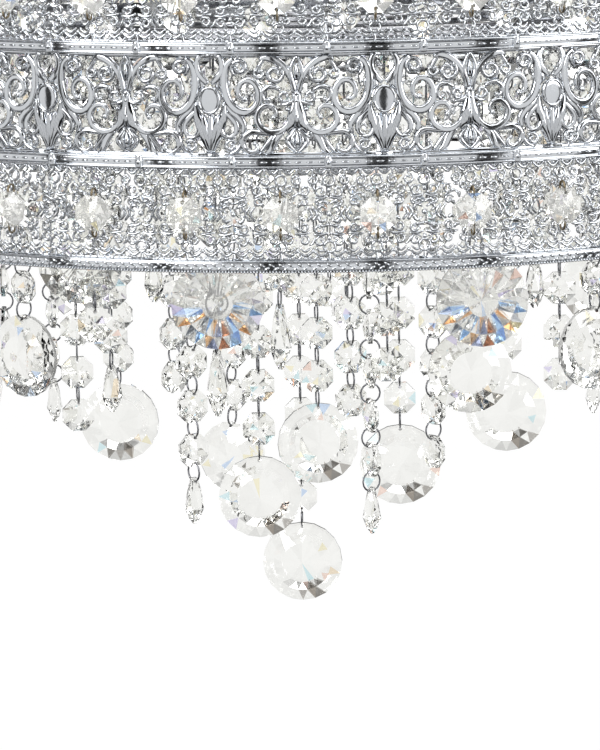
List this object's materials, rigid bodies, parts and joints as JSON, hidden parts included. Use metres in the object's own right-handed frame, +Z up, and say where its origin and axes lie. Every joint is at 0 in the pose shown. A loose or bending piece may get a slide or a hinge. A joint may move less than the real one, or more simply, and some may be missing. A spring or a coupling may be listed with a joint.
{
  "type": "drum chandelier",
  "caption": "Small hanging drum chandelier: pierced chrome bands round a frame of hanging crystal strands, with candle lamps, a stem, a short chain and a ceiling canopy.",
  "frame": {"origin": "middle of the ceiling crossbar's top face, where it meets the ceiling", "axes": "+Z up through the ceiling, -Y towards the front of the drum, +X to the right seen from the front"},
  "size_m": [0.4916, 0.4916, 0.5691],
  "materials": {
    "crystal": "cut and polished clear crystal",
    "bulb_glass": "clear blown glass",
    "brass_wire": "dull drawn wire",
    "steel_wire": "plated wire",
    "sleeve": "moulded, ivory",
    "socket": "moulded, black",
    "zinc_steel": "zinc plated",
    "chrome_band": "pressed and chrome plated",
    "chrome": "polished"
  },
  "bodies": {
    "ceiling_set": {"ceiling_crossbar": "zinc_steel", "canopy": "chrome", "canopy_locknut": "zinc_steel", "canopy_nipple": "zinc_steel", "collar_loop": "chrome"},
    "chain_link_1": {"chain_link_1": "chrome"},
    "chain_link_2": {"chain_link_2": "chrome"},
    "chain_link_3": {"chain_link_3": "chrome"},
    "drum": {"band_beads": "crystal", "bead_pins": "brass_wire", "bottom_trim": "chrome", "bulbs": "bulb_glass", "cabochons": "chrome", "candle_sleeves": "sleeve", "centre_stem": "chrome", "drum_loop": "chrome", "lamp_cups": "chrome", "lamp_sockets": "socket", "lower_lace_band": "chrome_band", "lower_rim": "chrome", "rear_strands_crystals": "crystal", "rear_strands_links": "steel_wire", "rim_rivets": "chrome", "scroll_band": "chrome_band", "spider": "chrome", "stay_rods": "chrome", "stem_finial": "chrome", "strand_hoops": "chrome", "top_trim": "chrome", "upper_lace_band": "chrome_band", "upper_rim": "chrome"},
    "strand_01": {"strand_01_crystals": "crystal", "strand_01_links": "steel_wire"},
    "strand_02": {"strand_02_crystals": "crystal", "strand_02_links": "steel_wire"},
    "strand_03": {"strand_03_crystals": "crystal", "strand_03_links": "steel_wire"},
    "strand_04": {"strand_04_crystals": "crystal", "strand_04_links": "steel_wire"},
    "strand_05": {"strand_05_crystals": "crystal", "strand_05_links": "steel_wire"},
    "strand_06": {"strand_06_crystals": "crystal", "strand_06_links": "steel_wire"},
    "strand_07": {"strand_07_crystals": "crystal", "strand_07_links": "steel_wire"},
    "strand_08": {"strand_08_crystals": "crystal", "strand_08_links": "steel_wire"},
    "strand_09": {"strand_09_crystals": "crystal", "strand_09_links": "steel_wire"},
    "strand_10": {"strand_10_crystals": "crystal", "strand_10_links": "steel_wire"},
    "strand_11": {"strand_11_crystals": "crystal", "strand_11_links": "steel_wire"},
    "strand_12": {"strand_12_crystals": "crystal", "strand_12_links": "steel_wire"},
    "strand_13": {"strand_13_crystals": "crystal", "strand_13_links": "steel_wire"}
  },
  "joints": [
    {"name": "chain_top_swing", "type": "hinge", "parent": "ceiling_set", "child": "chain_link_1", "pos_m": [0, 0, -0.0591], "axis": [1, 0, 0], "range_deg": [-12, 12]},
    {"name": "chain_second_swing", "type": "hinge", "parent": "chain_link_1", "child": "chain_link_2", "pos_m": [0, 0, -0.0884], "axis": [0, 1, 0], "range_deg": [-12, 12]},
    {"name": "chain_third_swing", "type": "hinge", "parent": "chain_link_2", "child": "chain_link_3", "pos_m": [0, 0, -0.1179], "axis": [1, 0, 0], "range_deg": [-12, 12]},
    {"name": "drum_swing", "type": "hinge", "parent": "chain_link_3", "child": "drum", "pos_m": [0, 0, -0.1474], "axis": [0, 1, 0], "range_deg": [-12, 12]},
    {"name": "strand_01_swing", "type": "hinge", "parent": "drum", "child": "strand_01", "pos_m": [-0.13037, -0.08926, -0.3036], "axis": [0.565, -0.8251, 0], "range_deg": [-4, 4]},
    {"name": "strand_02_swing", "type": "hinge", "parent": "drum", "child": "strand_02", "pos_m": [-0.10945, -0.06243, -0.3036], "axis": [0.4955, -0.8686, 0], "range_deg": [-4, 4]},
    {"name": "strand_03_swing", "type": "hinge", "parent": "drum", "child": "strand_03", "pos_m": [-0.09364, -0.00819, -0.3036], "axis": [0.0872, -0.9962, 0], "range_deg": [-4, 4]},
    {"name": "strand_04_swing", "type": "hinge", "parent": "drum", "child": "strand_04", "pos_m": [-0.045, -0.18459, -0.3036], "axis": [0.9715, -0.2368, 0], "range_deg": [-4, 4]},
    {"name": "strand_05_swing", "type": "hinge", "parent": "drum", "child": "strand_05", "pos_m": [-0.02967, -0.08919, -0.3036], "axis": [0.9489, -0.3156, 0], "range_deg": [-4, 4]},
    {"name": "strand_06_swing", "type": "hinge", "parent": "drum", "child": "strand_06", "pos_m": [-0.01124, -0.02782, -0.3036], "axis": [0.9272, -0.3746, 0], "range_deg": [-4, 4]},
    {"name": "strand_07_swing", "type": "hinge", "parent": "drum", "child": "strand_07", "pos_m": [-0.00379, -0.06188, -0.3036], "axis": [0.9981, -0.061, 0], "range_deg": [-3, 3]},
    {"name": "strand_08_swing", "type": "hinge", "parent": "drum", "child": "strand_08", "pos_m": [0.01819, -0.12468, -0.3036], "axis": [0.9895, 0.1444, 0], "range_deg": [-4, 4]},
    {"name": "strand_09_swing", "type": "hinge", "parent": "drum", "child": "strand_09", "pos_m": [0.03286, -0.05258, -0.3036], "axis": [0.848, 0.5299, 0], "range_deg": [-3, 3]},
    {"name": "strand_10_swing", "type": "hinge", "parent": "drum", "child": "strand_10", "pos_m": [0.04657, -0.08165, -0.3036], "axis": [0.8686, 0.4955, 0], "range_deg": [-4, 4]},
    {"name": "strand_11_swing", "type": "hinge", "parent": "drum", "child": "strand_11", "pos_m": [0.06311, -0.17921, -0.3036], "axis": [0.9432, 0.3322, 0], "range_deg": [-4, 4]},
    {"name": "strand_12_swing", "type": "hinge", "parent": "drum", "child": "strand_12", "pos_m": [0.08032, -0.04883, -0.3036], "axis": [0.5195, 0.8545, 0], "range_deg": [-4, 4]},
    {"name": "strand_13_swing", "type": "hinge", "parent": "drum", "child": "strand_13", "pos_m": [0.11499, -0.10836, -0.3036], "axis": [0.6858, 0.7278, 0], "range_deg": [-4, 4]}
  ]
}
